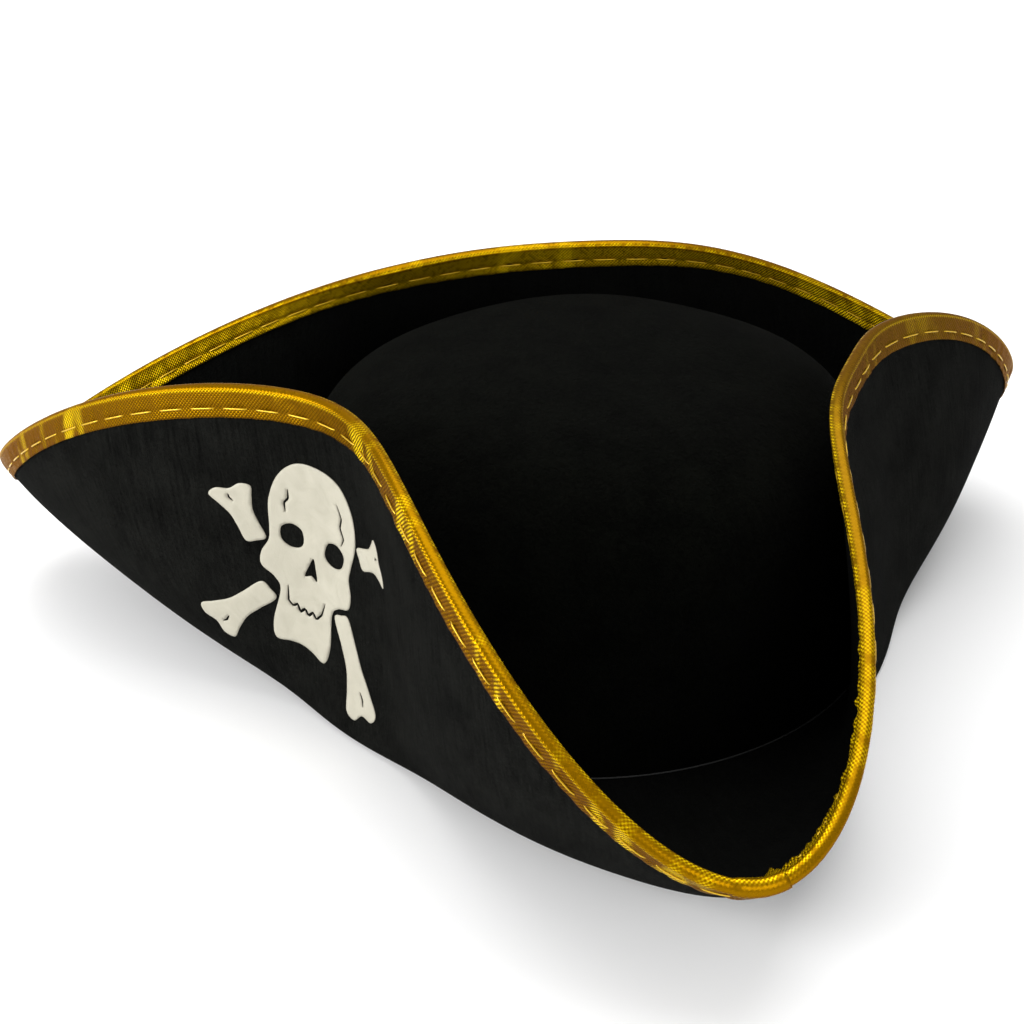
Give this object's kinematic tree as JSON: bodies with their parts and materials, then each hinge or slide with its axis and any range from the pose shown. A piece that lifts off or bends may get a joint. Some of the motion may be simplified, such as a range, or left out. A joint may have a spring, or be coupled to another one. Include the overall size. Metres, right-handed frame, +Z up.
{
  "type": "pirate tricorn hat",
  "caption": "Black felt three-cornered pirate hat with turned-up flaps, gold tape binding on the rim and a white skull and crossed bones on one flap.",
  "frame": {"origin": "centre of the round head opening, level with the underside of the brim", "axes": "+Z up through the crown, the flap with the skull faces -Y"},
  "size_m": [0.357, 0.3202, 0.1151],
  "materials": {
    "black_felt_crown": "soft felt, slightly mottled",
    "black_felt_brim": "pressed felt, matt",
    "gold_binding": "woven metallic tape, glinting",
    "gold_thread": "matt thread",
    "seam_thread": "matt thread",
    "white_print": "satin transfer film",
    "black_ribbon": "ribbed ribbon",
    "black_thread": "matt thread"
  },
  "bodies": {
    "root": {"crown": "black_felt_crown", "brim": "black_felt_brim", "crown_seam_thread": "seam_thread", "edge_binding": "gold_binding", "binding_stitches_inner": "gold_thread", "binding_stitches_outer": "gold_thread", "skull_print": "white_print", "bone_print_upper_left": "white_print", "bone_print_upper_right": "white_print", "bone_print_lower_left": "white_print", "bone_print_lower_right": "white_print", "sweatband": "black_ribbon", "sweatband_stitches": "black_thread"}
  },
  "joints": []
}
